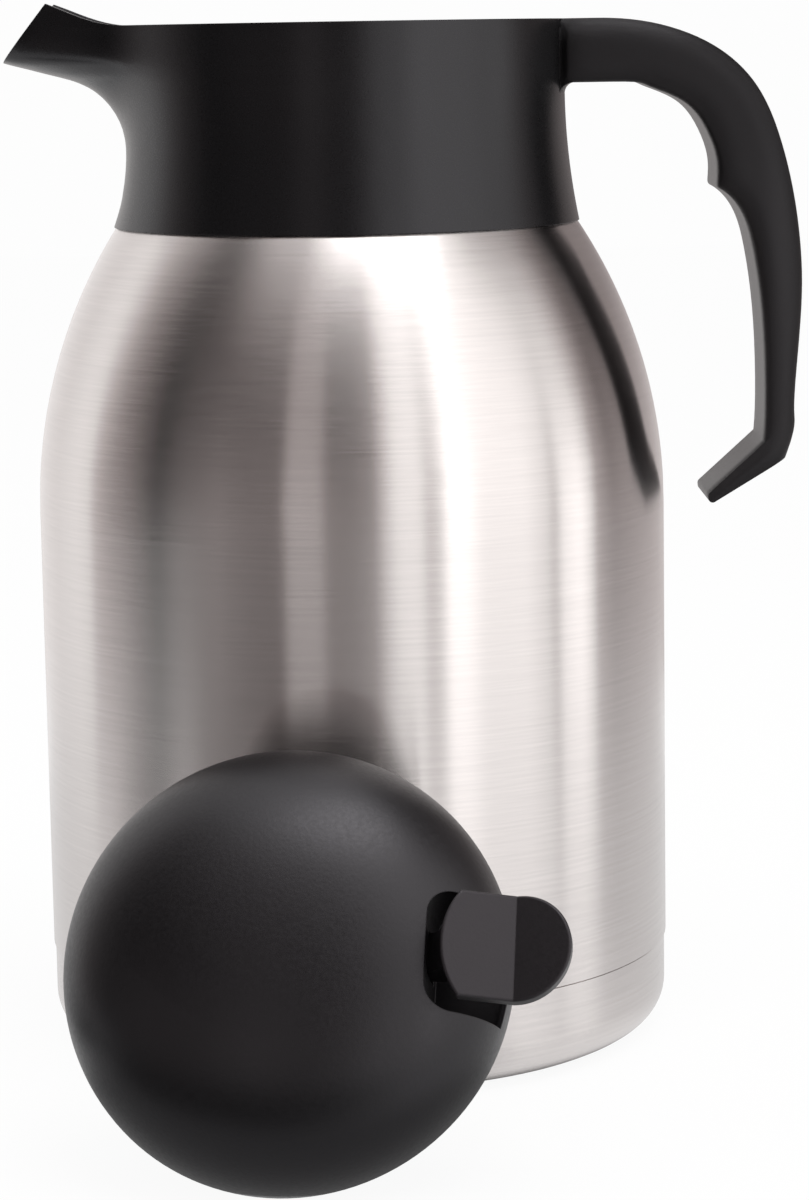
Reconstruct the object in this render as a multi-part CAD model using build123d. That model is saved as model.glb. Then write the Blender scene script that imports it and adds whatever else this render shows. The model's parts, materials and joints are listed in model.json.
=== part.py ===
from build123d import *
from math import acos, asin, atan2, cos, degrees, radians, sin, sqrt
import os

# Vacuum-insulated steel carafe with its screw-in lid taken off and stood in front of it.
# Millimetres. Z is up, the table is Z = 0 and the carafe's axis is the Z axis.
# The handle points to +X, the spout to -X and the lid stands on the -Y side.

# ---------------------------------------------------------------- steel body
rim_height = 234.0
body_radius = 72.5
outer_wall = 0.6
inner_wall = 0.5
vacuum_gap = 5.5
collar_rise = 25.0
neck_length = 10.0
shelf_rise = 7.0
shoulder_radius = 118.0
shoulder_end_radius = 50.5
neck_radius = 36.5
mouth_radius = 33.0
flask_floor_height = 17.0
flask_corner = 14.0
flask_shelf_drop = 4.5

# base cup pressed over the lower end of the shell
base_height = 21.3
seam_width = 0.4
base_wall = 0.6
base_corner = 9.5
base_inset = 0.4
base_clearance = 0.1
foot_height = 0.6
foot_land = 3.6
recess_height = 3.0
recess_slope = 4.0
pad_clearance = 1.0
pad_edge = 0.8

# vacuum bottom, getter and seal
bottom_plate_lift = 0.5
bottom_plate_wall = 0.8
bottom_dish_radius = 34.0
bottom_dish_rise = 2.0
bottom_dish_slope = 6.0
seal_hole_radius = 3.0
seal_head_radius = 4.5
seal_head_height = 0.9
getter_radius = 7.0
getter_height = 1.8
getter_edge = 0.6
foil_thickness = 0.2
foil_margin = 3.0

# ---------------------------------------------------------------- collar with spout, throat insert
rim_radius = 50.4
collar_wall = 3.0
collar_foot_radius = 53.5
foot_overhang = 0.5
flare_drop = 15.0
seat_clearance = 0.1
web_thickness = 2.8
insert_clearance = 0.1
ledge_width = 1.8
ledge_height = 1.4
skirt_clearance = 0.4
skirt_wall = 2.4
skirt_height = 7.0
throat_radius = 33.6
throat_wall = 3.0
throat_rise = 6.5
gasket_thickness = 1.2
gasket_inset = 0.1

# spout: its underside rises from the collar in one bend and a straight lip, and its sides turn upright
spout_reach = 27.3
spout_tip_drop = 8.1
spout_neck_inset = 0.2
spout_bend = 17.0
spout_bend_angle = 75.0
spout_side_bend = 8.0
spout_slant = 10.9
spout_brow_rise = 5.1
spout_brow_run = 18.3
spout_brow_slope = 0.36
spout_half_angle = 19.0
spout_wall = 2.4
channel_inset = 0.5
flare_sections = 4
bend_sections = 5
lip_sections = 4
side_sections = 3
section_points = 48
section_spread = 0.35

# ---------------------------------------------------------------- handle
handle_reach = 53.6
handle_drop = 111.3
handle_width = 25.0
handle_bar = 14.35
handle_edge = 1.0
handle_back_edge = 2.0
handle_inner_edge = 1.8
handle_crown = 3.0
handle_crown_depth = 9.0
handle_root_blend = 2.5
handle_seat_clearance = 0.02

# side view of the handle, as shares of its reach beyond the rim and of its drop below it
back_start = 0.13
back_shares = [(0.455, 0.023), (0.666, 0.073), (0.799, 0.138), (0.901, 0.245), (0.993, 0.466),
               (1.0, 0.565), (0.966, 0.813)]
heel_share = (0.925, 0.904)
foot_low_share = (0.592, 1.0)
foot_top_share = (0.588, 0.976)
crook_share = (0.832, 0.870)
grip_shares = [(0.840, 0.746), (0.826, 0.602), (0.789, 0.475), (0.707, 0.374)]
spur_share = (0.632, 0.346)
arch_shares = [(0.634, 0.292), (0.590, 0.229), (0.493, 0.171), (0.351, 0.140)]
arch_start = 0.179

# ---------------------------------------------------------------- lid cap
lid_radius = 46.7
lid_height = 30.0
lid_fullness = 0.64
lid_wall = 2.4

pocket_start = 30.9
pocket_half_width = 12.2
pocket_corner = 5.0
pocket_floor = 3.8
pocket_wall = 1.6
lip_height = 5.0
lip_wall = 1.5

# ---------------------------------------------------------------- lever and its pivot
lever_start = 34.2
lever_crease = 48.7
lever_tip = 60.2
lever_half_width = 10.8
lever_nose = 3.6
lever_top_start = 28.4
lever_top_crease = 22.6
lever_top_tip = 26.2
lever_depth = 3.2
lever_edge = 0.5
pivot_out = 26.0
pivot_up = 13.0
pin_radius = 1.5
pin_fit = 0.05
pin_grip = 0.01
arm_half_width = 4.0
arm_thickness = 5.0
arm_lift_gap = 0.5
fork_gap = 0.3
fork_reach = 2.5
hub_wall = 2.0
neck_step = 3.0
neck_bury = 1.5
ear_thickness = 2.6
ear_gap = 0.4
ear_wall = 2.7
slot_gap = 3.5
press_angle = 10.0

# ---------------------------------------------------------------- stopper
stopper_radius = 31.7
stopper_depth = 26.2
stopper_wall = 2.2
flange_thickness = 1.8
flange_gap = 0.3
port_radius = 12.0
floor_thickness = 2.5
window_top = 2.6
window_height = 7.0
window_count = 3
window_angle = 62.0
thread_depth = 0.4
thread_top = 11.5
thread_bottom = 20.0
ring_depth = 0.8
ring_stand = 1.3
ring_top = 21.0
ring_height = 2.0
ring_edge = 0.5
stem_hub_wall = 2.0
stem_hub_depth = 3.4

# ---------------------------------------------------------------- valve
stem_radius = 2.0
stem_fit = 0.06
stem_head_radius = 4.6
stem_head_height = 1.5
stem_nub_radius = 2.6
stem_nub_height = 1.8
stem_seal_radius = 4.0
stem_seal_height = 1.4
plug_radius = 15.0
plug_thickness = 1.6
valve_seal_thickness = 1.4
valve_seal_inset = 0.6
spring_radius = 4.0
spring_wire = 0.45
spring_turns = 4.5
spring_seat_gap = 0.1
seat_ring_gap = 0.45
seat_ring_wall = 1.3
seat_ring_height = 2.4
screw_radius = 1.4
screw_fit = 0.05
screw_head_radius = 2.9
screw_head_height = 1.5
screw_length = 8.0
screw_end_gap = 0.5

# screws that hold stopper and cap together
cap_screw_count = 3
cap_screw_circle = 39.5
cap_screw_radius = 1.3
screw_clearance = 0.3
cap_screw_head_radius = 2.6
cap_screw_head_height = 1.4
cap_screw_length = 8.0
cap_boss_wall = 1.9

# ---------------------------------------------------------------- where the lid stands
lid_side_step = -14.8
lid_turn = -8.2
lid_wall_gap = 0.5

# ---------------------------------------------------------------- derived sizes
arc_centre = body_radius - shoulder_radius
shoulder_sweep = acos((shoulder_end_radius - arc_centre) / shoulder_radius)
mouth_height = rim_height - collar_rise
neck_foot_height = mouth_height - neck_length
shoulder_start = neck_foot_height - shelf_rise - shoulder_radius * sin(shoulder_sweep)
flask_radius = body_radius - outer_wall - vacuum_gap
foot_inner_radius = body_radius - base_inset - base_corner - foot_land
sleeve_radius = body_radius - base_inset - base_wall - base_clearance
sleeve_inner = sleeve_radius - outer_wall
bottom_plate_height = foot_height + base_corner + bottom_plate_lift
dish_height = bottom_plate_height + bottom_dish_rise
web_bottom = mouth_height + gasket_thickness
web_top = web_bottom + web_thickness
throat_top = web_top + throat_rise
collar_bore = rim_radius - collar_wall
foot_angle = acos((collar_foot_radius - foot_overhang - arc_centre) / shoulder_radius)
collar_foot = shoulder_start + shoulder_radius * sin(foot_angle) + seat_clearance
flare_start = rim_height - flare_drop
tip_reach = rim_radius + spout_reach
tip_height = rim_height - spout_tip_drop
tip_turn = radians(spout_bend_angle)
spout_neck_reach = rim_radius - spout_neck_inset
bend_end_reach = spout_neck_reach + spout_bend * (1 - cos(tip_turn))
bend_end_height = tip_height - (tip_reach - bend_end_reach) * cos(tip_turn) / sin(tip_turn)
spout_neck_height = bend_end_height - spout_bend * sin(tip_turn)
brow_reach = tip_reach - spout_slant
brow_height = rim_height + spout_brow_rise
trim_height = brow_height + spout_brow_rise
stem_head_low = pivot_up + arm_thickness / 2 + arm_lift_gap
stem_head_top = stem_head_low + stem_head_height
port_floor = floor_thickness - stopper_depth
plug_low = port_floor + valve_seal_thickness
plug_top = plug_low + plug_thickness
lid_ceiling = lid_height - lid_wall
tube_bore = stopper_radius - stopper_wall
ring_seat = stopper_radius - ring_depth
lean = atan2(lid_radius - stopper_radius, stopper_depth)


def at(radius, height):
    """A point of a section, radius along X and height along Z."""
    return Vector(radius, 0, height)


def chain(*points):
    """Straight edges through section points."""
    return Polyline(*[at(r, z) for r, z in points])


def turned(*edges):
    """Solid of revolution about Z of the closed section that the edges bound."""
    outline = Wire.combine([e for line in edges for e in line.edges()])[0]
    return revolve(Face(outline), Axis.Z, 360)


def ring(inner, outer, low, high):
    """Plain tube about Z."""
    return turned(chain((inner, low), (outer, low), (outer, high), (inner, high), (inner, low)))


def disc(radius, low, high):
    """Plain round plate about Z."""
    return turned(chain((0, low), (radius, low), (radius, high), (0, high), (0, low)))


# ================================================================ steel body
def vessel(wall, neck, neck_foot, low, high, corner=0.0):
    """Bottle-shaped solid: barrel, shoulder arc, sloped shelf and straight neck."""
    reach = wall - arc_centre
    shelf = at(arc_centre + reach * cos(shoulder_sweep), shoulder_start + reach * sin(shoulder_sweep))
    middle = shoulder_sweep / 2
    crown = at(arc_centre + reach * cos(middle), shoulder_start + reach * sin(middle))
    shoulder = ThreePointArc(at(wall, shoulder_start), crown, shelf)
    top = chain((shelf.X, shelf.Z), (neck, neck_foot), (neck, high), (0, high), (0, low))
    if corner == 0.0:
        return turned(chain((0, low), (wall, low), (wall, shoulder_start)), shoulder, top)
    bend = corner * (1 - sqrt(0.5))
    heel = ThreePointArc(at(wall - corner, low), at(wall - bend, low + bend), at(wall, low + corner))
    floor = chain((0, low), (wall - corner, low))
    side = chain((wall, low + corner), (wall, shoulder_start))
    return turned(floor, heel, side, shoulder, top)


def make_outer_shell():
    """Straight barrel, stepped in at the seam to carry the base cup."""
    start = base_height + seam_width
    barrel = ring(body_radius - outer_wall, body_radius, start, shoulder_start)
    step = ring(sleeve_inner, body_radius, start, start + outer_wall)
    sleeve = ring(sleeve_inner, sleeve_radius, bottom_plate_height, start + outer_wall)
    return barrel + step + sleeve


def make_shoulder_shell():
    """Spun shoulder and neck, welded to the barrel and polished flush."""
    skin = vessel(body_radius, neck_radius, neck_foot_height, base_height, mouth_height)
    skin -= vessel(body_radius - outer_wall, neck_radius - outer_wall, neck_foot_height - outer_wall,
                   base_height, mouth_height - outer_wall)
    skin -= disc(mouth_radius + inner_wall, neck_foot_height, mouth_height)
    return skin - disc(2 * body_radius, base_height, shoulder_start)


def make_inner_flask():
    """Inner bottle that holds the drink, hung from the mouth."""
    shelf = neck_foot_height - flask_shelf_drop
    outside = vessel(flask_radius, mouth_radius + inner_wall, shelf, flask_floor_height,
                     mouth_height, flask_corner)
    inside = vessel(flask_radius - inner_wall, mouth_radius, shelf - inner_wall,
                    flask_floor_height + inner_wall, mouth_height, flask_corner - inner_wall)
    return outside - inside


def make_vacuum_bottom():
    """Plate that closes the outer shell, dished up at the middle."""
    low = bottom_plate_height
    wall = bottom_plate_wall
    slope_end = bottom_dish_radius + bottom_dish_slope
    return turned(chain((seal_hole_radius, dish_height), (bottom_dish_radius, dish_height), (slope_end, low),
                        (sleeve_inner, low), (sleeve_inner, low + wall), (slope_end, low + wall),
                        (bottom_dish_radius, dish_height + wall), (seal_hole_radius, dish_height + wall),
                        (seal_hole_radius, dish_height)))


def make_seal_plug():
    """Bead that closes the pumping hole in the vacuum bottom."""
    head = disc(seal_head_radius, dish_height - seal_head_height, dish_height)
    head = chamfer(head.edges().group_by(Axis.Z)[0], seal_head_height / 2)
    return head + disc(seal_hole_radius, dish_height - seal_head_height / 2, dish_height + bottom_plate_wall)


def make_getter():
    """Gas-absorbing pellet cup under the flask's floor, inside the vacuum."""
    cup = disc(getter_radius, flask_floor_height - getter_height, flask_floor_height)
    return chamfer(cup.edges().group_by(Axis.Z)[0], getter_edge)


def make_reflective_foil():
    """Heat-reflecting foil wrapped round the flask's straight wall."""
    low = flask_floor_height + flask_corner + foil_margin
    return ring(flask_radius, flask_radius + foil_thickness, low, shoulder_start - foil_margin)


def cup_section(inset):
    """Solid inside the base cup's skin, moved inwards by inset."""
    radius = body_radius - base_inset - inset
    low = foot_height + inset
    top = base_height + inset
    corner = base_corner - inset
    flat = radius - corner
    bend = corner * (1 - sqrt(0.5))
    slope = foot_inner_radius - recess_slope
    heel = ThreePointArc(at(flat, low), at(radius - bend, low + bend), at(radius, low + corner))
    floor = chain((0, low + recess_height), (slope, low + recess_height), (foot_inner_radius, low), (flat, low))
    side = chain((radius, low + corner), (radius, top), (0, top), (0, low + recess_height))
    return turned(floor, heel, side)


def make_base_cup():
    """Pressed steel cup with a rounded heel, a foot ring and a recessed middle."""
    return cup_section(0) - cup_section(base_wall)


def make_base_pad():
    """Non-slip pad glued into the recess, the face that the carafe rests on."""
    pad = disc(foot_inner_radius - recess_slope - pad_clearance, 0, foot_height + recess_height)
    return chamfer(pad.edges().group_by(Axis.Z)[0], pad_edge)


# ================================================================ collar with spout
def flare(height):
    """Radius of the collar's outside at a height, away from the spout."""
    drop = flare_start - collar_foot
    spread = collar_foot_radius - rim_radius
    bend = (drop ** 2 + spread ** 2) / (2 * spread)
    fall = max(0, flare_start - height)
    return rim_radius + bend - sqrt(bend ** 2 - fall ** 2)


def spout_flare(height):
    """Reach of the collar straight below the spout, where it is necked in."""
    drop = spout_neck_height - collar_foot
    spread = collar_foot_radius - spout_neck_reach
    bend = (drop ** 2 + spread ** 2) / (2 * spread)
    fall = spout_neck_height - height
    return spout_neck_reach + bend - sqrt(bend ** 2 - fall ** 2)


def beak(height, base, reach, wall=0.0):
    """Level section: a circle drawn out towards -X to the given reach, moved inwards by a wall."""
    points = []
    for i in range(section_points):
        swing = 2 * i / section_points - 1
        turn = 180 * swing * (section_spread + (1 - section_spread) * swing ** 2)
        fade = (1 + cos(radians(min(abs(turn) * 2, 180)))) / 2
        pull = fade / (1 + (turn / spout_half_angle) ** 2) ** 2
        radius = base + (reach - base) * pull
        points.append(Vector(-radius * cos(radians(turn)), -radius * sin(radians(turn)), height))
    moved = []
    for i, point in enumerate(points):
        along = (points[(i + 1) % section_points] - points[i - 1]).normalized()
        moved.append(point + wall * Vector(-along.Y, along.X, 0))
    return Face(Wire([Edge.make_spline(moved, periodic=True)]))


def spout_stations():
    """Height and reach along the spout's underside: bend, straight lip and upright sides."""
    stations = []
    for i in range(bend_sections):
        turn = tip_turn * i / bend_sections
        stations.append((spout_neck_height + spout_bend * sin(turn),
                         spout_neck_reach + spout_bend * (1 - cos(turn))))
    for i in range(lip_sections):
        share = i / lip_sections
        stations.append((bend_end_height + share * (tip_height - bend_end_height),
                         bend_end_reach + share * (tip_reach - bend_end_reach)))
    for i in range(side_sections + 1):
        turn = tip_turn * (1 - i / side_sections)
        stations.append((tip_height + spout_side_bend * (sin(tip_turn) - sin(turn)),
                         tip_reach + spout_side_bend * (cos(turn) - cos(tip_turn))))
    return stations


def collar_outside():
    """Outer form of collar and spout, with height to trim at the rim."""
    sections = []
    for i in range(flare_sections):
        height = collar_foot + (spout_neck_height - collar_foot) * i / flare_sections
        sections.append(beak(height, flare(height), spout_flare(height)))
    for height, reach in spout_stations():
        sections.append(beak(height, flare(height), reach))
    return loft(sections) + extrude(sections[-1], trim_height - height)


def spout_channel():
    """Inside of the spout, one wall within its outer form, from the collar's bore to the tip."""
    base = collar_bore - channel_inset + spout_wall
    sections = [beak(web_top, base, base, spout_wall)]
    for height, reach in spout_stations()[2:]:
        sections.append(beak(height + spout_wall, base, reach, spout_wall))
    return loft(sections) + extrude(sections[-1], trim_height - height)


def upright(outline):
    """Thick plate across the whole collar from an outline in the XZ plane."""
    return extrude(Face(outline), amount=2 * rim_radius, both=True, dir=(0, 1, 0))


def above_rim():
    """What the rim line, the rising brow and the slanted tip trim away."""
    far = 2 * tip_reach
    high = 2 * rim_height
    brow_foot = brow_reach - spout_brow_run
    run_out = brow_height + spout_brow_slope * (far - brow_reach)
    brow = Spline(at(-brow_foot, rim_height), at(-brow_reach, brow_height),
                  tangents=[(-1, 0, 0), (-1, 0, spout_brow_slope)])
    over = chain((-brow_reach, brow_height), (-far, run_out), (-far, high), (far, high),
                 (far, rim_height), (-brow_foot, rim_height))
    slant = spout_slant / (brow_height - tip_height)
    tip_foot = tip_reach + slant * (tip_height - collar_foot)
    tip_head = brow_reach - slant * (high - brow_height)
    ahead = chain((-tip_foot, collar_foot), (-tip_head, high), (-far, high), (-far, collar_foot),
                  (-tip_foot, collar_foot))
    return upright(Wire.combine(brow.edges() + over.edges())[0]) + upright(Wire(ahead.edges()))


def collar_underside():
    """Hollow of the flared foot, up to the web, and the shoulder that it sits on."""
    foot_bore = collar_foot_radius - collar_wall
    ledge_bottom = web_bottom - ledge_height
    hollow = turned(chain((0, base_height), (foot_bore, base_height), (foot_bore, collar_foot),
                          (collar_bore, ledge_bottom), (0, ledge_bottom), (0, base_height)))
    seat = vessel(body_radius + seat_clearance, neck_radius, neck_foot_height, base_height, web_bottom)
    return hollow + seat


def make_collar():
    """Collar moulding: flared wall, rim and spout, with a ledge inside for the throat insert."""
    body = collar_outside() - above_rim() - spout_channel()
    body -= disc(collar_bore, web_bottom, brow_height)
    body -= collar_underside()
    ledge_bore = collar_bore - ledge_width
    return body - disc(ledge_bore, web_bottom - ledge_height, web_bottom)


def make_throat_insert():
    """Funnel web with the threaded throat above it and the neck skirt below it."""
    skirt_bore = neck_radius + skirt_clearance
    web_middle = web_bottom + web_thickness / 2
    insert = ring(throat_radius, collar_bore - insert_clearance, web_bottom, web_top)
    insert += ring(throat_radius, throat_radius + throat_wall, web_middle, throat_top)
    return insert + ring(skirt_bore, skirt_bore + skirt_wall, web_bottom - skirt_height, web_middle)


def make_neck_gasket():
    """Silicone ring squeezed between the steel mouth and the collar's web."""
    return ring(throat_radius, neck_radius - gasket_inset, mouth_height, web_bottom)


# ================================================================ handle
def handle_point(share):
    """Point of the handle's side view at a share of its reach and of its drop."""
    return at(rim_radius + share[0] * handle_reach, rim_height - share[1] * handle_drop)


def handle_outline():
    """Side view of the open hook handle, from its root inside the collar."""
    under = rim_height - handle_bar
    start = at(rim_radius + back_start * handle_reach, rim_height)
    arch = at(rim_radius + arch_start * handle_reach, under)
    back = Spline(start, *[handle_point(share) for share in back_shares], handle_point(heel_share),
                  tangents=[(1, 0, 0), (-0.4, 0, -1)])
    hook = Polyline(back @ 1, handle_point(foot_low_share), handle_point(foot_top_share),
                    handle_point(crook_share))
    grip = Spline(hook @ 1, *[handle_point(share) for share in grip_shares], handle_point(spur_share),
                  tangents=[(0.1, 0, 1), (-1, 0, 0.4)])
    inside = Spline(grip @ 1, *[handle_point(share) for share in arch_shares], arch,
                    tangents=[(0.1, 0, 1), (-1, 0, 0)])
    close = Polyline(arch, at(collar_bore, under), at(collar_bore, rim_height), start)
    lines = [edge for part in (back, hook, grip, inside, close) for edge in part.edges()]
    return Face(Wire.combine(lines)[0])


def handle_root():
    """Widening of the handle's root, curved into the collar at its sides and below."""
    half = handle_width / 2
    reach = rim_radius + handle_root_blend
    blend_y = half + handle_root_blend
    blend_x = sqrt(reach ** 2 - blend_y ** 2)
    share = rim_radius / reach
    corner = handle_root_blend * sqrt(0.5)
    sides = []
    for side in (1, -1):
        sides.append(ThreePointArc((blend_x, side * half), (blend_x - corner, side * (blend_y - corner)),
                                   (blend_x * share, side * blend_y * share)))
    across = Line((blend_x, half), (blend_x, -half))
    inside = Polyline((blend_x * share, blend_y * share), (collar_bore / 2, half),
                      (collar_bore / 2, -half), (blend_x * share, -blend_y * share))
    flanks = Face(Wire.combine(sides[0].edges() + sides[1].edges() + across.edges() + inside.edges())[0])
    under = rim_height - handle_bar
    below = under - handle_root_blend
    arc = ThreePointArc(at(reach, under), at(reach - corner, under - handle_root_blend + corner),
                        at(rim_radius, below))
    round_web = turned(arc, chain((rim_radius, below), (collar_bore, below), (collar_bore, under), (reach, under)))
    beam = Pos(reach / 2, 0) * Rectangle(reach, handle_width)
    root = extrude(Pos(0, 0, under) * flanks, handle_bar - handle_back_edge)
    return root + (extrude(Pos(0, 0, below) * (flanks + beam), handle_root_blend) & round_web)


def handle_plan():
    """Top view of the handle: parallel sides that close in towards the back."""
    half = handle_width / 2
    bend = rim_radius + handle_reach - handle_crown_depth
    radius = (handle_crown_depth ** 2 + handle_crown ** 2) / (2 * handle_crown)
    sweep_angle = degrees(asin((handle_crown_depth + handle_back_edge) / radius))
    near = JernArc((bend, -half), (1, 0), radius, sweep_angle)
    far = JernArc((bend, half), (1, 0), radius, -sweep_angle)
    root = Polyline(near @ 0, (0, -half), (0, half), far @ 0)
    back = Line(near @ 1, far @ 1)
    return Face(Wire.combine(near.edges() + far.edges() + root.edges() + back.edges())[0])


def make_handle():
    """Hook handle with a crowned back, a rounded inside and a finger spur, seated on the collar."""
    half = handle_width / 2
    bar = extrude(Pos(0, -half, 0) * handle_outline(), amount=handle_width, dir=(0, 1, 0))
    lengthwise = bar.edges().filter_by(Axis.Y, reverse=True)
    grips = [Vector(0, side, 0) + handle_point(grip_shares[1]) for side in (-half, half)]
    bar = fillet([lengthwise.sort_by_distance(grip)[0] for grip in grips], handle_inner_edge)
    bar &= extrude(handle_plan(), rim_height)
    crosswise = bar.edges().filter_by(Axis.Y)
    corners = [crosswise.sort_by_distance(handle_point(share))[0]
               for share in (foot_low_share, foot_top_share, spur_share)]
    bar = fillet(corners, handle_edge)
    lengthwise = bar.edges().filter_by(Axis.Y, reverse=True).group_by(SortBy.LENGTH)[-1]
    bar = fillet(lengthwise, handle_back_edge)
    return bar + handle_root() - disc(rim_radius + handle_seat_clearance, web_bottom, brow_height)


# ================================================================ lid, in its own frame
# Local X runs out towards the lever, local Z up through the dome; the cap's edge is at local Z = 0.
def dome(radius, height):
    """Full dome of revolution standing on Z = 0."""
    side = Bezier(at(radius, 0), at(radius, lid_fullness * height), at(lid_fullness * radius, height), at(0, height))
    return turned(side, chain((0, height), (0, 0), (radius, 0)))


def cross_pin(radius, length):
    """Cylinder along the lever's axis, at the pivot."""
    return Pos(pivot_out, 0, pivot_up) * Rot(90, 0, 0) * Cylinder(radius, length)


def pocket_block(inset, low):
    """Block in the shape of the lever pocket, open towards the cap's edge."""
    start = pocket_start - inset
    length = 2 * lid_radius - start
    plan = Pos(start + length / 2, 0) * Rectangle(length, 2 * (pocket_half_width + inset))
    plan = fillet(plan.vertices().group_by(Axis.X)[0], pocket_corner + inset)
    return extrude(Pos(0, 0, low) * plan, lid_height)


def screw_places():
    """Places of the cap's screws, the first one opposite the lever."""
    return [Rot(0, 0, 180 + 360 / cap_screw_count * i) * Pos(cap_screw_circle, 0, 0)
            for i in range(cap_screw_count)]


def pivot_ears():
    """Two ears behind the pocket that hold the lever pin."""
    radius = pin_radius + ear_wall
    reach = pocket_start - pivot_out
    ears = Part()
    for side in (-1, 1):
        middle = side * (arm_half_width + ear_gap + ear_thickness / 2)
        ears += Pos(0, middle, 0) * cross_pin(radius, ear_thickness)
        ears += Pos(pivot_out + reach / 2, middle, pivot_up) * Box(reach, ear_thickness, 2 * radius)
    return ears


def lever_slot():
    """Slot in the pocket's inner wall that the lever's arm swings through."""
    width = 2 * (arm_half_width + ear_gap)
    middle = pocket_start - pocket_wall / 2
    return Pos(middle, 0, pivot_up) * Box(3 * pocket_wall, width, arm_thickness + 2 * slot_gap)


def make_lid_cap():
    """Domed cap with the lever pocket, pivot ears, spring seat and screw bosses."""
    shape = dome(lid_radius, lid_height)
    seat_inner = spring_radius + spring_wire + seat_ring_gap
    fittings = pocket_block(pocket_wall, flange_thickness) + pivot_ears()
    fittings += ring(seat_inner, seat_inner + seat_ring_wall, lid_ceiling - seat_ring_height, lid_height)
    for place in screw_places():
        fittings += place * disc(cap_screw_radius + cap_boss_wall, flange_thickness, lid_height)
    room = dome(lid_radius - lid_wall, lid_ceiling) - fittings
    pocket = pocket_block(0, pocket_floor) - ring(lid_radius - lip_wall, 2 * lid_radius, 0, lip_height)
    cap = shape - room - pocket - lever_slot()
    for place in screw_places():
        cap -= place * disc(cap_screw_radius + screw_fit, 0, cap_screw_length + screw_end_gap)
    return cap - cross_pin(pin_radius + pin_grip, 2 * pocket_half_width)


def lever_plan():
    """Plan of the lever's tab: bowed inner end, straight sides, half-round tip."""
    half = lever_half_width
    bend = lever_tip - half
    nose = ThreePointArc((lever_start + lever_nose, half), (lever_start, 0), (lever_start + lever_nose, -half))
    tip = ThreePointArc((bend, -half), (lever_tip, 0), (bend, half))
    sides = [Line((lever_start + lever_nose, side * half), (bend, side * half)) for side in (-1, 1)]
    return Face(Wire.combine([line.edge() for line in (nose, tip, *sides)])[0])


def tab_top(out):
    """Height of the lever's top: it falls to the crease and rises again to the tip."""
    if out < lever_crease:
        share = (out - lever_start) / (lever_crease - lever_start)
        return lever_top_start + share * (lever_top_crease - lever_top_start)
    share = (out - lever_crease) / (lever_tip - lever_crease)
    return lever_top_crease + share * (lever_top_tip - lever_top_crease)


def lever_tab():
    """Dished tab: its inner half slopes down to a crease and its round end rises from there."""
    tops = [(out, tab_top(out)) for out in (lever_start - lever_nose, lever_crease, lever_tip + lever_nose)]
    lows = [(out, top - lever_depth) for out, top in reversed(tops)]
    side_view = chain(*tops, *lows, tops[0])
    slab = extrude(Face(Wire(side_view.edges())), amount=lever_tip, both=True, dir=(0, 1, 0))
    tab = slab & extrude(lever_plan(), 2 * lid_height)
    top = tab.faces().filter_by(lambda face: face.normal_at().Z > 0.5)
    return fillet(top.edges() - (top[0].edges() & top[1].edges()), lever_edge)


def make_lever():
    """Thumb lever: tab, neck, pivot hub and the forked arm under the valve stem's head."""
    low = pivot_up - arm_thickness / 2
    high = pivot_up + arm_thickness / 2
    bury = lever_depth - neck_bury
    neck_far = lever_start + lever_half_width
    neck_near = lever_start + neck_step
    neck = chain((pivot_out, low), (pocket_start + neck_step, low), (neck_far, tab_top(neck_far) - bury),
                 (neck_near, tab_top(neck_near) - bury), (pivot_out + neck_step, high), (pivot_out, high),
                 (pivot_out, low))
    arm_length = pivot_out + fork_reach
    fork = 2 * (stem_radius + fork_gap)
    lever = lever_tab() + extrude(Face(Wire(neck.edges())), amount=arm_half_width, both=True, dir=(0, 1, 0))
    lever += Pos(pivot_out - arm_length / 2, 0, pivot_up) * Box(arm_length, 2 * arm_half_width, arm_thickness)
    lever += cross_pin(pin_radius + hub_wall, 2 * arm_half_width)
    lever -= Pos(-fork, 0, pivot_up) * Box(2 * fork, fork, lid_height)
    lever -= Cylinder(fork / 2, 2 * lid_height)
    return lever - cross_pin(pin_radius + pin_fit, 2 * pocket_half_width)


def make_lever_pin():
    """Steel pin through the ears and the lever."""
    return cross_pin(pin_radius, 2 * (arm_half_width + ear_gap + ear_thickness))


def window_wedge():
    """Wedge about local X that cuts one pour window."""
    half = radians(window_angle / 2)
    radius = stopper_radius + thread_depth
    corner = radius * sin(half) / cos(half)
    plan = Face(Wire.make_polygon([Vector(0, 0, 0), Vector(radius, -corner, 0), Vector(radius, corner, 0)]))
    wedge = extrude(Pos(0, 0, -window_top - window_height) * plan, window_height)
    return wedge - disc(tube_bore - stopper_wall, -stopper_depth, 0)


def make_stopper_body():
    """Stopper tube with its pour windows and thread, and the floor with the valve port."""
    body = ring(tube_bore, stopper_radius, -stopper_depth, 0)
    body += ring(port_radius, stopper_radius, -stopper_depth, port_floor)
    body += ring(tube_bore, stopper_radius + thread_depth, -thread_bottom, -thread_top)
    body -= ring(ring_seat, stopper_radius + thread_depth, -ring_top - ring_height, -ring_top)
    for i in range(window_count):
        body -= Rot(0, 0, 180 + 360 / window_count * i) * window_wedge()
    return body


def make_stopper_plate():
    """Plate that closes the cap and carries the stopper tube, with the stem's guide hub."""
    plate = disc(lid_radius - lid_wall - flange_gap, 0, flange_thickness)
    plate += disc(stem_seal_radius + stem_hub_wall, -stem_hub_depth, 0)
    plate -= disc(stem_seal_radius, -stem_hub_depth, stem_seal_height - stem_hub_depth)
    plate -= disc(stem_radius + stem_fit, -stem_hub_depth, flange_thickness)
    for place in screw_places():
        plate -= place * disc(cap_screw_radius + screw_clearance, 0, flange_thickness)
    return plate


def make_stopper_gasket():
    """Silicone ring in the groove near the stopper's end."""
    outer = stopper_radius + ring_stand
    gasket = ring(ring_seat, outer, -ring_top - ring_height, -ring_top)
    rims = gasket.edges().filter_by(GeomType.CIRCLE).sort_by(SortBy.RADIUS)[-2:]
    return chamfer(rims, ring_edge)


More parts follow.
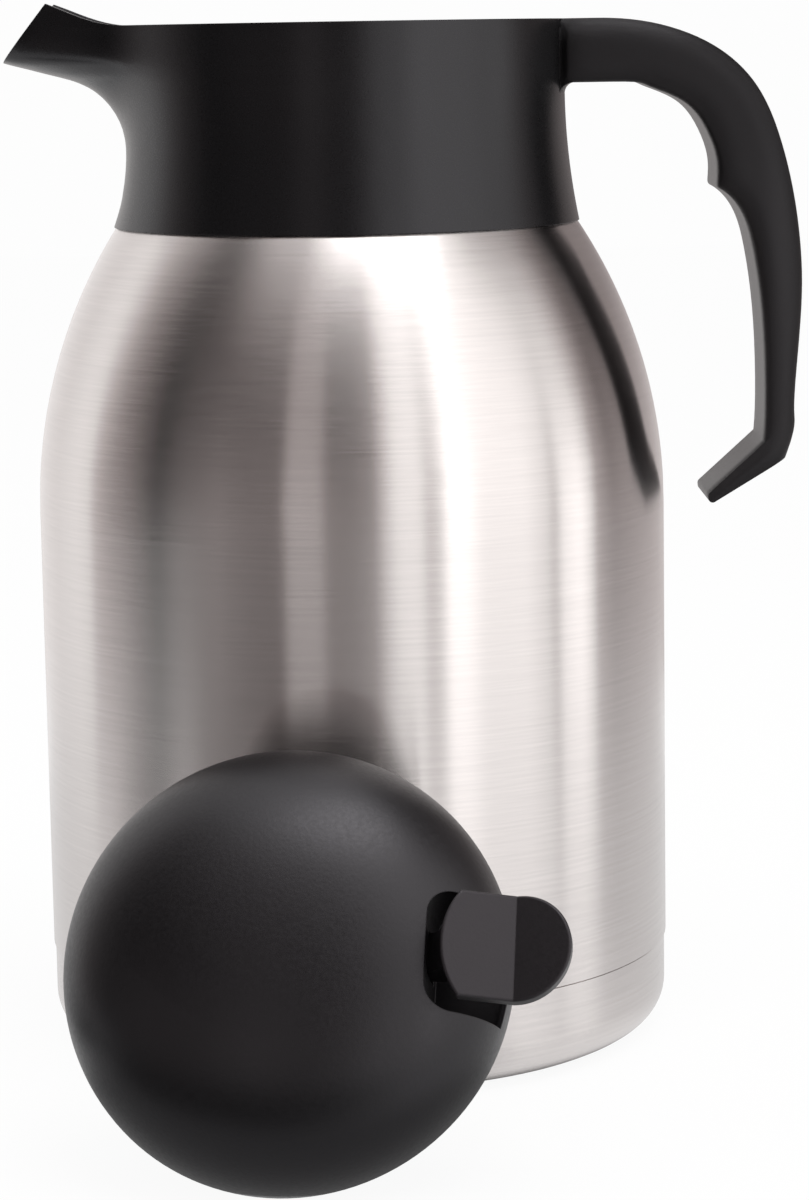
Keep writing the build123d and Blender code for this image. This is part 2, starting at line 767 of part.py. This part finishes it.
def make_stem_seal():
    """Silicone ring that wipes the valve stem under the flange."""
    return ring(stem_radius + stem_fit, stem_seal_radius, -stem_hub_depth, stem_seal_height - stem_hub_depth)


def make_cap_screws():
    """Self-tapping screws that hold the stopper to the cap, heads under the flange."""
    head = disc(cap_screw_head_radius, -cap_screw_head_height, 0)
    head = chamfer(head.edges().group_by(Axis.Z)[0], cap_screw_head_height / 2)
    screw = head + disc(cap_screw_radius, -cap_screw_head_height / 2, cap_screw_length)
    return Compound(children=[place * screw for place in screw_places()])


# ================================================================ valve, in the lid's frame
def make_valve_stem():
    """Rod from the lever's fork down to the plug, with the spring's seat on its head."""
    rod = disc(stem_radius, plug_top, stem_head_low)
    rod += disc(stem_head_radius, stem_head_low, stem_head_top)
    rod += disc(stem_nub_radius, stem_head_top, stem_head_top + stem_nub_height)
    return rod - disc(screw_radius + screw_fit, plug_top, plug_low + screw_length)


def make_valve_plug():
    """Dish at the stem's lower end that carries the seal."""
    plug = disc(plug_radius, plug_low, plug_top)
    plug = chamfer(plug.edges().group_by(Axis.Z)[-1], plug_thickness / 2)
    return plug - disc(screw_radius + screw_fit, plug_low, plug_top)


def make_valve_seal():
    """Silicone disc that closes the port."""
    return ring(screw_radius + screw_fit, plug_radius - valve_seal_inset, port_floor, plug_low)


def make_valve_screw():
    """Screw that holds seal and plug to the stem, its head in the port."""
    head = disc(screw_head_radius, port_floor - screw_head_height, port_floor)
    head = chamfer(head.edges().group_by(Axis.Z)[0], screw_head_height / 2)
    return head + disc(screw_radius, port_floor - screw_head_height / 2, plug_low + screw_length - screw_end_gap)


def make_valve_spring():
    """Compression spring between the stem's head and the cap."""
    low = stem_head_top + spring_wire + spring_seat_gap
    high = lid_ceiling - spring_wire - 2 * spring_seat_gap
    path = Helix(pitch=(high - low) / spring_turns, height=high - low, radius=spring_radius)
    start = Plane(origin=path @ 0, z_dir=path % 0)
    return Pos(0, 0, low) * sweep(start * RegularPolygon(spring_wire, 6), path=path, is_frenet=True)


# ================================================================ the lid's place on the table
def lid_frame():
    """Frame of the lid as it stands: cap edge and stopper end on the table, close to the wall."""
    turn = radians(lid_turn)
    up = Vector(sin(turn) * cos(lean), -cos(turn) * cos(lean), sin(lean))
    out = Vector(cos(turn), sin(turn), 0)
    back = stopper_depth * cos(lean) + stopper_radius * sin(lean)
    aside = lid_side_step - stopper_depth * up.X
    wall = sqrt(body_radius ** 2 - aside ** 2)
    return Plane(origin=(lid_side_step, -wall - lid_wall_gap - back, lid_radius * cos(lean)),
                 x_dir=out, z_dir=up)


CARAFE_NODES = {
    "outer_shell": make_outer_shell,
    "shoulder_shell": make_shoulder_shell,
    "inner_flask": make_inner_flask,
    "vacuum_bottom": make_vacuum_bottom,
    "seal_plug": make_seal_plug,
    "getter": make_getter,
    "reflective_foil": make_reflective_foil,
    "base_cup": make_base_cup,
    "base_pad": make_base_pad,
    "collar": make_collar,
    "throat_insert": make_throat_insert,
    "neck_gasket": make_neck_gasket,
    "handle": make_handle,
}

LID_NODES = {
    "lid_cap": make_lid_cap,
    "lever": make_lever,
    "lever_pin": make_lever_pin,
    "stopper_plate": make_stopper_plate,
    "stopper_body": make_stopper_body,
    "stopper_gasket": make_stopper_gasket,
    "stem_seal": make_stem_seal,
    "cap_screws": make_cap_screws,
    "valve_stem": make_valve_stem,
    "valve_plug": make_valve_plug,
    "valve_seal": make_valve_seal,
    "valve_screw": make_valve_screw,
    "valve_spring": make_valve_spring,
}


def main():
    os.makedirs("parts", exist_ok=True)
    for name, make in CARAFE_NODES.items():
        export_step(make(), f"parts/{name}.step")
    frame = lid_frame()
    for name, make in LID_NODES.items():
        export_step(frame.location * make(), f"parts/{name}.step")
    print("lever pivot", frame.from_local_coords(Vector(pivot_out, 0, pivot_up)))
    print("lever axis", frame.y_dir)
    print("lever range in degrees", press_angle)
    print("valve axis", frame.z_dir)
    print("valve lift", pivot_out * radians(press_angle))


main()
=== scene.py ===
import json
import math

import bmesh
import bpy
from mathutils import Matrix, Vector


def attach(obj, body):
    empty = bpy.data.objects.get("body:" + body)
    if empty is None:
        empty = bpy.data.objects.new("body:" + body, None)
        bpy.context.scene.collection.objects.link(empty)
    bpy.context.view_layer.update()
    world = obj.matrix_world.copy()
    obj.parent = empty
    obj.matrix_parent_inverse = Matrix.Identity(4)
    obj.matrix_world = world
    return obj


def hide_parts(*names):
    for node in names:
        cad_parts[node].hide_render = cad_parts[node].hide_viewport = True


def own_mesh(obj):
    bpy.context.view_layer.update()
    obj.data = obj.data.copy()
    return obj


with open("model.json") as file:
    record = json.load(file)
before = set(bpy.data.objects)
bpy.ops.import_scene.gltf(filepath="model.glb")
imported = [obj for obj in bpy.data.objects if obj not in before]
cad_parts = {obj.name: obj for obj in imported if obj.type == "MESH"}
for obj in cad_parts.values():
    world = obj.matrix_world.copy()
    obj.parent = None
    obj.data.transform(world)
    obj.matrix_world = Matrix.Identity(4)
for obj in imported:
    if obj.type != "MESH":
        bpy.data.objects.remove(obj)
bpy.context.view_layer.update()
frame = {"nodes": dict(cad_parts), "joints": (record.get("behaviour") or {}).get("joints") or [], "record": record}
nodes = frame["nodes"]
joints = {joint["name"]: joint for joint in frame["joints"]}

# Lengths are in metres, in the CAD model's frame: Z up, the handle towards +X, the camera on the
# -Y side.
MM = 0.001

# the lid's own frame: its origin is the middle of the cap's edge, where part.py stands it, and its
# axes are read from its joints: out towards the lever, across, and up through the dome
lid_up = Vector(joints["valve_slide"]["axis"]).normalized()
lid_side = Vector(joints["lever_press"]["axis"]).normalized()
lid_out = lid_side.cross(lid_up).normalized()
LID_CENTRE = Vector((-14.8, -110.56, 40.528)) * MM
lid_turn = Matrix((lid_out, lid_side, lid_up)).transposed().to_4x4()
lid_place = Matrix.Translation(LID_CENTRE) @ lid_turn


# ------------------------------------------------------------ node trees
class NodeTree:
    """Node tree of a new material or world, with shorthands to add and link nodes."""

    def __init__(self, owner):
        owner.use_nodes = True
        self.owner = owner
        self.nodes = owner.node_tree.nodes
        self.links = owner.node_tree.links

    def put(self, socket, value):
        """Link another node's output to a socket, or set the socket's own value."""
        if isinstance(value, bpy.types.NodeSocket):
            self.links.new(value, socket)
        else:
            socket.default_value = value

    def node(self, kind, inputs=None, **settings):
        """Add a node, with its inputs given by name or number."""
        made = self.nodes.new("ShaderNode" + kind)
        for key, value in settings.items():
            setattr(made, key, value)
        for key, value in (inputs or {}).items():
            self.put(made.inputs[key], value)
        return made

    def object_space(self, scale=(1, 1, 1)):
        """Object coordinates, stretched by a scale for each axis."""
        coords = self.node("TexCoord").outputs["Object"]
        return self.node("Mapping", {"Vector": coords, "Scale": scale}).outputs["Vector"]

    def noise(self, vector, scale, detail, rough):
        inputs = {"Vector": vector, "Scale": scale, "Detail": detail, "Roughness": rough}
        return self.node("TexNoise", inputs).outputs["Fac"]

    def maths(self, operation, first, second):
        return self.node("Math", {0: first, 1: second}, operation=operation).outputs[0]

    def ramp(self, value, low, high):
        """Colour ramp between two ends, each a position and a colour."""
        made = self.node("ValToRGB", {"Fac": value})
        for element, (position, colour) in zip(made.color_ramp.elements, (low, high)):
            element.position = position
            element.color = colour
        return made.outputs["Color"]

    def smooth_step(self, value, start, end):
        """From 0 at the start to 1 at the end."""
        inputs = {"Value": value, "From Min": start, "From Max": end}
        made = self.node("MapRange", inputs, interpolation_type="SMOOTHSTEP")
        return made.outputs["Result"]

    def mix_shaders(self, share, first, second):
        return self.node("MixShader", {"Fac": share, 1: first, 2: second}).outputs[0]

    def show(self, shader):
        """Link the finished shader to the tree's output."""
        output = "World Output" if "World Output" in self.nodes else "Material Output"
        self.put(self.nodes[output].inputs["Surface"], shader)


def new_material(name):
    """Tree and Principled shader of a new material."""
    tree = NodeTree(bpy.data.materials.new(name))
    return tree, tree.nodes["Principled BSDF"]


def grey(value):
    return (value, value, value, 1.0)


def shade(colour, factor):
    """A colour made lighter or darker, kept within 1."""
    return tuple(min(1.0, c * factor) for c in colour) + (1.0,)


# ------------------------------------------------------------ finishes
# the span of a noise that a finish's colour or roughness follows
NOISE_LOW = 0.3
NOISE_HIGH = 0.7

# the brushing: two noises stretched level in X and Y, the span of their product, and its shades
BRUSH_FINE = (90, 90, 7000)
BRUSH_BROAD = (30, 30, 1600)
BRUSH_LOW = 0.12
BRUSH_HIGH = 0.40
BRUSH_DARK = 0.95
BRUSH_LIGHT = 1.03
BRUSH_DEPTH = 0.02 * MM
QUARTER_TURN = 0.25

# plastic: a broad cloudiness in its colour, and the depth of its grain
CLOUD_SCALE = 45
GRAIN_DEPTH = 0.04 * MM
BEVEL_SAMPLES = 4

# turned metal
SATIN_SCALE = 900

# rubber and silicone, and how deep light goes into the silicone
MOTTLE_SCALE = 160
RUBBER_GRAIN_SCALE = 1800
MILKY_DEPTH = 2 * MM


def vary_colour(tree, shader, value, colour, dark, light):
    """Base colour that wanders between a darker and a lighter shade."""
    low = (NOISE_LOW, shade(colour, dark))
    high = (NOISE_HIGH, shade(colour, light))
    tree.put(shader.inputs["Base Color"], tree.ramp(value, low, high))


def vary_gloss(tree, shader, value, rough, spread):
    """Roughness that wanders by a share of itself to either side."""
    low = (NOISE_LOW, grey(rough * (1 - spread)))
    high = (NOISE_HIGH, grey(rough * (1 + spread)))
    tree.put(shader.inputs["Roughness"], tree.ramp(value, low, high))


def brushed_steel(name, colour, rough, streaks):
    """Stainless steel brushed round the vertical axis, with fine level scratches."""
    tree, shader = new_material(name)
    fine = tree.noise(tree.object_space(BRUSH_FINE), scale=1.0, detail=3.0, rough=0.6)
    broad = tree.noise(tree.object_space(BRUSH_BROAD), scale=1.0, detail=2.0, rough=0.5)
    both = tree.maths("MULTIPLY", fine, broad)
    low = (BRUSH_LOW, shade(colour, BRUSH_DARK))
    high = (BRUSH_HIGH, shade(colour, BRUSH_LIGHT))
    tree.put(shader.inputs["Base Color"], tree.ramp(both, low, high))
    vary_gloss(tree, shader, fine, rough, spread=0.12)
    around = tree.node("Tangent", direction_type="RADIAL", axis="Z")
    bump = tree.node("Bump", {"Height": fine, "Strength": streaks, "Distance": BRUSH_DEPTH})
    tree.put(shader.inputs["Metallic"], 1.0)
    tree.put(shader.inputs["Anisotropic"], 1.0)
    tree.put(shader.inputs["Anisotropic Rotation"], QUARTER_TURN)
    tree.put(shader.inputs["Tangent"], around.outputs["Tangent"])
    tree.put(shader.inputs["Normal"], bump.outputs["Normal"])
    return tree.owner


def moulded_plastic(name, colour, rough, grain, grain_scale=2600, specular=0.5,
                    tint=(1.0, 1.0, 1.0), edge_radius=0.35 * MM):
    """Matt moulded plastic with a fine spark-eroded grain and soft rounded edges."""
    tree, shader = new_material(name)
    vector = tree.object_space()
    fine = tree.noise(vector, grain_scale, detail=2.0, rough=0.55)
    cloud = tree.noise(vector, CLOUD_SCALE, detail=3.0, rough=0.5)
    vary_colour(tree, shader, cloud, colour, dark=0.88, light=1.12)
    vary_gloss(tree, shader, fine, rough, spread=0.1)
    edge = tree.node("Bevel", {"Radius": edge_radius}, samples=BEVEL_SAMPLES)
    bump = tree.node("Bump", {"Height": fine, "Strength": grain, "Distance": GRAIN_DEPTH,
                              "Normal": edge.outputs["Normal"]})
    tree.put(shader.inputs["Specular IOR Level"], specular)
    tree.put(shader.inputs["Specular Tint"], tint + (1.0,))
    tree.put(shader.inputs["Normal"], bump.outputs["Normal"])
    return tree.owner


def turned_metal(name, colour, rough):
    """Plain satin metal for pins, screws and wire."""
    tree, shader = new_material(name)
    fine = tree.noise(tree.object_space(), SATIN_SCALE, detail=3.0, rough=0.6)
    vary_colour(tree, shader, fine, colour, dark=0.9, light=1.08)
    vary_gloss(tree, shader, fine, rough, spread=0.15)
    tree.put(shader.inputs["Metallic"], 1.0)
    return tree.owner


def soft_rubber(name, colour, rough, milky=0.0):
    """Silicone or rubber with a faint mottling. Silicone is milky in its depth."""
    tree, shader = new_material(name)
    vector = tree.object_space()
    cloud = tree.noise(vector, MOTTLE_SCALE, detail=2.0, rough=0.5)
    fine = tree.noise(vector, RUBBER_GRAIN_SCALE, detail=2.0, rough=0.5)
    vary_colour(tree, shader, cloud, colour, dark=0.92, light=1.06)
    vary_gloss(tree, shader, fine, rough, spread=0.1)
    if milky:
        tree.put(shader.inputs["Subsurface Weight"], milky)
        tree.put(shader.inputs["Subsurface Radius"], (MILKY_DEPTH,) * 3)
        tree.put(shader.inputs["Subsurface Scale"], 1.0)
    return tree.owner


STEEL = (0.66, 0.625, 0.615)
FINISHES = {
    "brushed_shell": (brushed_steel, STEEL, dict(rough=0.24, streaks=0.10)),
    "brushed_base": (brushed_steel, STEEL, dict(rough=0.24, streaks=0.10)),
    "inner_steel": (brushed_steel, (0.60, 0.59, 0.58), dict(rough=0.34, streaks=0.15)),
    "getter_metal": (turned_metal, (0.45, 0.44, 0.43), dict(rough=0.5)),
    "foil": (turned_metal, (0.82, 0.82, 0.82), dict(rough=0.22)),
    "rubber_pad": (soft_rubber, (0.022, 0.022, 0.022), dict(rough=0.75)),
    "black_plastic": (moulded_plastic, (0.0018, 0.0018, 0.0022),
                      dict(rough=0.29, grain=0.25, tint=(0.97, 0.95, 1.0))),
    "handle_plastic": (moulded_plastic, (0.0020, 0.0019, 0.0021),
                       dict(rough=0.34, grain=0.25, specular=0.30, tint=(1.0, 0.95, 1.0),
                            edge_radius=8.0 * MM)),
    "lid_plastic": (moulded_plastic, (0.0025, 0.0022, 0.0026),
                    dict(rough=0.39, grain=0.60, grain_scale=1200, tint=(0.98, 0.94, 1.0))),
    "lever_plastic": (moulded_plastic, (0.0062, 0.0054, 0.0060),
                      dict(rough=0.42, grain=0.45, grain_scale=1500, tint=(1.0, 0.93, 1.0))),
    "stopper_plastic": (moulded_plastic, (0.018, 0.018, 0.020), dict(rough=0.38, grain=0.12)),
    "valve_plastic": (moulded_plastic, (0.12, 0.12, 0.125), dict(rough=0.40, grain=0.10)),
    "silicone": (soft_rubber, (0.58, 0.57, 0.54), dict(rough=0.42, milky=0.4)),
    "pin_steel": (turned_metal, (0.66, 0.65, 0.64), dict(rough=0.25)),
    "spring_steel": (turned_metal, (0.62, 0.61, 0.60), dict(rough=0.30)),
}
materials = {slot: finish(slot, colour, **looks)
             for slot, (finish, colour, looks) in FINISHES.items()}

# each node has its slot's finish, apart from the handle, which has a softer-edged one of its own
for part in frame["record"]["subparts"]:
    shown = nodes[part["node"]]
    shown.data.materials.clear()
    slot = "handle_plastic" if part["node"] == "handle" else part["material_slot"]
    shown.data.materials.append(materials[slot])


# ------------------------------------------------------------ helical pieces: spring and threads
HELIX_STEPS = 72
# the share of its section that a faded helix keeps at its very ends
THINNEST = 0.02

# the threads' pitch, how far they go into the wall, and the turns over which their ends fade
THREAD_PITCH = 3.2 * MM
THREAD_SINK = 0.15 * MM
THREAD_FADE = 1 / 6

# the spring's lowest and highest wire centre in the lid's own frame, and its sizes
SPRING_LOW = 18.05 * MM
SPRING_HIGH = 26.95 * MM
SPRING_RADIUS = 4.0 * MM
SPRING_WIRE = 0.45 * MM
SPRING_TURNS = 4.5
WIRE_SIDES = 12


def helix_rows(mesh, place, radius, low, pitch, turns, section, fade):
    """Vertices along a helix, one row of the section's points for each step."""
    count = round(turns * HELIX_STEPS)
    rows = []
    for i in range(count + 1):
        turn = 2 * math.pi * i / HELIX_STEPS
        grown = min(1.0, min(i, count - i) / (fade * HELIX_STEPS)) if fade else 1.0
        row = []
        for out, up in section:
            away = radius + out * max(grown, THINNEST)
            height = low + pitch * i / HELIX_STEPS + up
            spot = Vector((away * math.cos(turn), away * math.sin(turn), height))
            row.append(mesh.verts.new(place @ spot))
        rows.append(row)
    return rows


def helix_piece(name, place, radius, low, pitch, turns, section, slot, body, fade=0.0):
    """Sweep of a closed section of (out, up) points along a helix about the place's own Z axis.

    With a fade, the section sinks to almost nothing over that many turns at both ends.
    """
    mesh = bmesh.new()
    rows = helix_rows(mesh, place, radius, low, pitch, turns, section, fade)
    for one, two in zip(rows, rows[1:]):
        for j in range(len(section)):
            k = (j + 1) % len(section)
            mesh.faces.new((one[j], two[j], two[k], one[k]))
    mesh.faces.new(rows[0])
    mesh.faces.new(rows[-1][::-1])
    bmesh.ops.recalc_face_normals(mesh, faces=mesh.faces)
    data = bpy.data.meshes.new(name)
    mesh.to_mesh(data)
    mesh.free()
    data.materials.append(materials[slot])
    piece = bpy.data.objects.new(name, data)
    bpy.context.scene.collection.objects.link(piece)
    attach(piece, body)
    return piece


def thread(name, place, radius, low, high, height, width, slot, body, inward=False):
    """Trapezoidal screw ridge on a cylinder, faded out at both ends."""
    side = -1 if inward else 1
    crest = side * (height + THREAD_SINK)
    section = [(0, -width / 2), (crest, -width / 4), (crest, width / 4), (0, width / 2)]
    turns = (high - low - width) / THREAD_PITCH
    helix_piece(name, place, radius - side * THREAD_SINK, low + width / 2, THREAD_PITCH,
                turns, section, slot, body, fade=THREAD_FADE)


def make_spring():
    """Compression spring between the stem's head and the cap."""
    around = [2 * math.pi * i / WIRE_SIDES for i in range(WIRE_SIDES)]
    wire = [(SPRING_WIRE * math.cos(turn), SPRING_WIRE * math.sin(turn)) for turn in around]
    length = SPRING_HIGH - SPRING_LOW
    spring = helix_piece("closing_spring", lid_place, SPRING_RADIUS, SPRING_LOW,
                         length / SPRING_TURNS, SPRING_TURNS, wire, "spring_steel", "lid")
    spring.data.shade_smooth()
    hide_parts("valve_spring")
    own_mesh(spring)


make_spring()
thread("stopper_thread", lid_place, radius=32.1 * MM, low=-19.8 * MM, high=-11.7 * MM,
       height=0.8 * MM, width=1.8 * MM, slot="stopper_plastic", body="lid")
thread("throat_thread", Matrix.Identity(4), radius=33.6 * MM, low=210.6 * MM, high=219.2 * MM,
       height=0.5 * MM, width=1.7 * MM, slot="black_plastic", body="carafe", inward=True)


# ------------------------------------------------------------ studio: floor
FLOOR_SIZE = 6.0
FLOOR_GREY = 0.90
FLOOR_ROUGH = 0.9
FLOOR_SPECULAR = 0.1
# the share of plain white in what the camera and reflections see of the floor
FLOOR_WHITE = 0.93


def plane(name, size):
    bpy.ops.mesh.primitive_plane_add(size=size)
    made = bpy.context.object
    made.name = name
    return made


def floor_material():
    """Pale floor, shown nearly white to the camera and in reflections, with its shadows kept."""
    tree, shader = new_material("studio_floor")
    tree.put(shader.inputs["Base Color"], grey(FLOOR_GREY))
    tree.put(shader.inputs["Roughness"], FLOOR_ROUGH)
    tree.put(shader.inputs["Specular IOR Level"], FLOOR_SPECULAR)
    glow = tree.node("Emission", {"Strength": 1.0})
    path = tree.node("LightPath").outputs
    seen = tree.maths("MAXIMUM", path["Is Camera Ray"], path["Is Glossy Ray"])
    share = tree.maths("MULTIPLY", seen, FLOOR_WHITE)
    tree.show(tree.mix_shaders(share, shader.outputs["BSDF"], glow.outputs["Emission"]))
    return tree.owner


floor = plane("floor", FLOOR_SIZE)
floor.data.materials.append(floor_material())

# ------------------------------------------------------------ studio: light tent
# The tent stands round the object and is seen only in reflections. Each band has its azimuth in
# degrees, 0 on the camera's side and positive towards the handle, and then its brightness in the
# low, middle and high part of the tent.
TENT_BANDS = [
    (-180, 0.90, 0.90, 0.90), (-150, 0.95, 0.95, 1.00), (-129, 0.98, 0.95, 1.00),
    (-112, 1.15, 1.15, 1.05), (-104, 1.05, 1.05, 1.00), (-100, 0.62, 0.75, 0.95),
    (-91, 0.40, 0.34, 0.52), (-80, 0.20, 0.14, 0.20), (-70, 0.02, 0.00, 0.00),
    (-59, 0.18, 0.06, 0.20), (-46, 0.36, 0.09, 0.58), (-34, 0.30, 0.10, 0.64),
    (-24, 0.30, 0.12, 0.66), (-21, 0.78, 0.40, 0.72), (-11, 0.72, 0.34, 0.70),
    (-8, 0.38, 0.08, 0.60), (0, 0.32, 0.10, 0.34), (7, 0.36, 0.18, 0.50),
    (11, 0.95, 0.70, 0.95), (15, 1.40, 1.10, 1.20), (22, 1.35, 1.25, 1.35),
    (25, 0.62, 0.95, 1.40), (29, 0.90, 1.05, 1.45), (32, 2.20, 1.75, 1.60),
    (38, 2.10, 1.70, 1.65), (44, 1.55, 1.60, 1.70), (60, 1.60, 1.55, 1.45),
    (69, 1.15, 1.40, 1.00), (72, 0.60, 1.20, 0.80), (76, 1.70, 1.20, 0.55),
    (84, 2.10, 1.10, 0.35), (89, 1.50, 0.80, 0.12), (93, 0.55, 0.60, 0.08),
    (102, 0.36, 0.16, 0.05), (120, 0.50, 0.30, 0.10), (145, 0.65, 0.30, 0.10),
    (170, 0.75, 0.12, 0.10), (180, 0.90, 0.90, 0.90),
]
TENT_PEAK = 2.5
TENT_RADIUS = 0.46
TENT_LOW = 0.002
TENT_HIGH = 1.0
TENT_MIDDLE = (TENT_HIGH + TENT_LOW) / 2
TENT_SIDES = 96
# the heights over which the low part turns into the middle one, and that into the high one
TENT_STEPS = ((0.08, 0.28), (0.35, 0.80))
# the tent's colour at a dark and at a bright level
TENT_DARK = (0.06, (1.0, 0.86, 0.85, 1.0))
TENT_BRIGHT = (0.42, (1.0, 0.985, 0.975, 1.0))


def band_curve(tree, share, column):
    """Brightness round the tent from one column of its bands, as a share of the peak."""
    bands = tree.node("FloatCurve", {"Value": share})
    curve = bands.mapping.curves[0]
    curve.points[0].location = (0.0, TENT_BANDS[0][column] / TENT_PEAK)
    curve.points[1].location = (1.0, TENT_BANDS[-1][column] / TENT_PEAK)
    for band in TENT_BANDS[1:-1]:
        point = curve.points.new((band[0] + 180) / 360, band[column] / TENT_PEAK)
        point.handle_type = "VECTOR"
    bands.mapping.update()
    return bands.outputs["Value"]


def tent_material():
    """Upright bands of light and dark, blended up the tent from low through middle to high."""
    tree, shader = new_material("studio_tent")
    tree.nodes.remove(shader)
    coords = tree.node("TexCoord").outputs["Object"]
    parts = tree.node("SeparateXYZ", {"Vector": coords}).outputs
    ahead = tree.maths("MULTIPLY", parts["Y"], -1.0)
    turn = tree.maths("ARCTAN2", parts["X"], ahead)
    share = tree.node("MapRange", {"Value": turn, "From Min": -math.pi, "From Max": math.pi})
    share = share.outputs["Result"]
    low, middle, high = [band_curve(tree, share, column) for column in (1, 2, 3)]
    level = low
    for (start, end), above in zip(TENT_STEPS, (middle, high)):
        step = tree.smooth_step(parts["Z"], start - TENT_MIDDLE, end - TENT_MIDDLE)
        level = tree.node("Mix", {0: step, 2: level, 3: above}, data_type="FLOAT").outputs[0]
    tint = tree.ramp(level, TENT_DARK, TENT_BRIGHT)
    strength = tree.maths("MULTIPLY", level, TENT_PEAK)
    tree.show(tree.node("Emission", {"Color": tint, "Strength": strength}).outputs["Emission"])
    return tree.owner


def only_reflected(staging):
    """Hide an object from all but reflections."""
    staging.visible_camera = False
    staging.visible_diffuse = False
    staging.visible_shadow = False
    staging.visible_transmission = False


def make_tent():
    """Open cylinder round the object that only reflections see."""
    bpy.ops.mesh.primitive_cylinder_add(
        vertices=TENT_SIDES, radius=TENT_RADIUS, depth=TENT_HIGH - TENT_LOW,
        end_fill_type="NOTHING", location=(0, 0, TENT_MIDDLE))
    tent = bpy.context.object
    tent.name = "light_tent"
    tent.data.materials.append(tent_material())
    only_reflected(tent)


make_tent()


# ------------------------------------------------------------ studio: cards of painted shade, seen only in reflections
# the edge of a card of size 1, from its middle
SHADE_CARD_EDGE = 0.50


def shade_card_material(name, level, solid):
    """Painted shade for reflections: evenly grey over the solid share of the card's width, then fading to clear at
    its edge.
    """
    tree, shader = new_material(name)
    tree.nodes.remove(shader)
    coords = tree.node("TexCoord").outputs["Object"]
    away = tree.node("VectorMath", {0: coords}, operation="LENGTH").outputs["Value"]
    fade = tree.smooth_step(away, solid / 2, SHADE_CARD_EDGE)
    glow = tree.node("Emission", {"Color": grey(level)})
    clear = tree.node("BsdfTransparent")
    tree.show(tree.mix_shaders(fade, glow.outputs["Emission"], clear.outputs["BSDF"]))
    return tree.owner


def make_shade_card(name, place, size, level, solid=0.6):
    """Oval card lying just above the floor, which takes the floor's place in reflections and shows there as
    painted shade, greyer than the floor's white.
    """
    card = plane(name, 1.0)
    card.location = place
    card.scale = size + (1.0,)
    card.data.materials.append(shade_card_material(name, level, solid))
    only_reflected(card)


# painted shade in reflections: the front and spout cards darken the floor's reflection in the dome and under the
# spout, the under and foot cards paint the floor's shadow beneath the lid and the heel, and the right and left
# cards darken the floor's reflection behind the object
make_shade_card("front_shade_card", (-0.13, -0.26, 0.0008), size=(0.46, 0.34), level=0.06)
make_shade_card("under_shadow_card", (-0.02, -0.118, 0.0010), size=(0.22, 0.14), level=0.42)
make_shade_card("right_shade_card", (0.17, 0.12, 0.0006), size=(0.40, 0.40), level=0.80)
make_shade_card("left_shade_card", (-0.17, 0.12, 0.0006), size=(0.40, 0.40), level=0.82)
make_shade_card("spout_shade_card", (-0.20, -0.05, 0.0005), size=(0.18, 0.18), level=0.04)
make_shade_card("foot_shadow_card", (0.0, 0.0, 0.0003), size=(0.14, 0.14), level=0.05, solid=0.93)


# ------------------------------------------------------------ studio: lamps and world
WORLD_LIGHT = 0.75
REFLECTED_SKY = 1.4
BACKDROP_WHITE = 0.983
WHITE = grey(1.0)


def lamp(name, place, target, size, watts):
    """Square soft box that looks at a target."""
    data = bpy.data.lights.new(name, "AREA")
    data.shape = "SQUARE"
    data.size = size
    data.energy = watts
    made = bpy.data.objects.new(name, data)
    bpy.context.scene.collection.objects.link(made)
    made.location = place
    made.rotation_euler = (Vector(target) - Vector(place)).to_track_quat("-Z", "Y").to_euler()


def make_world():
    """White all round, at one level as light, one in reflections and one for the camera."""
    world = bpy.data.worlds.new("studio")
    bpy.context.scene.world = world
    tree = NodeTree(world)
    light = tree.nodes["Background"]
    tree.put(light.inputs["Color"], WHITE)
    tree.put(light.inputs["Strength"], WORLD_LIGHT)
    seen = tree.node("Background", {"Color": WHITE, "Strength": BACKDROP_WHITE})
    reflected = tree.node("Background", {"Color": WHITE, "Strength": REFLECTED_SKY})
    path = tree.node("LightPath").outputs
    shiny = tree.mix_shaders(path["Is Glossy Ray"], light.outputs[0], reflected.outputs[0])
    tree.show(tree.mix_shaders(path["Is Camera Ray"], shiny, seen.outputs[0]))


lamp("key", (0.27, -0.38, 1.30), target=(0.0, -0.05, 0.12), size=0.8, watts=7.5)
lamp("fill", (-0.9, -0.6, 0.8), target=(0.0, 0.0, 0.12), size=0.8, watts=1.5)
make_world()

# ------------------------------------------------------------ camera
# turns in radians, lens and sensor in millimetres, the rest in metres
CAMERA_PLACE = Vector((0.0, -810.5, 230.83)) * MM
CAMERA_PITCH = 0.16
CAMERA_ROLL = -0.0165
CAMERA_YAW = 0.01457
CAMERA_NEAR = 0.01
FOCAL_LENGTH = 105.0
SENSOR = 36.0


def aim_camera():
    """Camera at the measured place, turned by yaw, pitch and roll."""
    forward = Vector((math.sin(CAMERA_YAW) * math.cos(CAMERA_PITCH),
                      math.cos(CAMERA_YAW) * math.cos(CAMERA_PITCH),
                      -math.sin(CAMERA_PITCH)))
    right = forward.cross(Vector((0, 0, 1))).normalized()
    up = right.cross(forward)
    across = math.cos(CAMERA_ROLL) * right + math.sin(CAMERA_ROLL) * up
    above = -math.sin(CAMERA_ROLL) * right + math.cos(CAMERA_ROLL) * up
    turn = Matrix((across, above, -forward)).transposed().to_4x4()
    data = bpy.data.cameras.new("camera")
    data.sensor_fit = "AUTO"
    data.sensor_width = SENSOR
    data.lens = FOCAL_LENGTH
    data.clip_start = CAMERA_NEAR
    made = bpy.data.objects.new("camera", data)
    bpy.context.scene.collection.objects.link(made)
    made.matrix_world = Matrix.Translation(CAMERA_PLACE) @ turn
    bpy.context.scene.camera = made


aim_camera()
bpy.context.scene.view_settings.view_transform = "Standard"
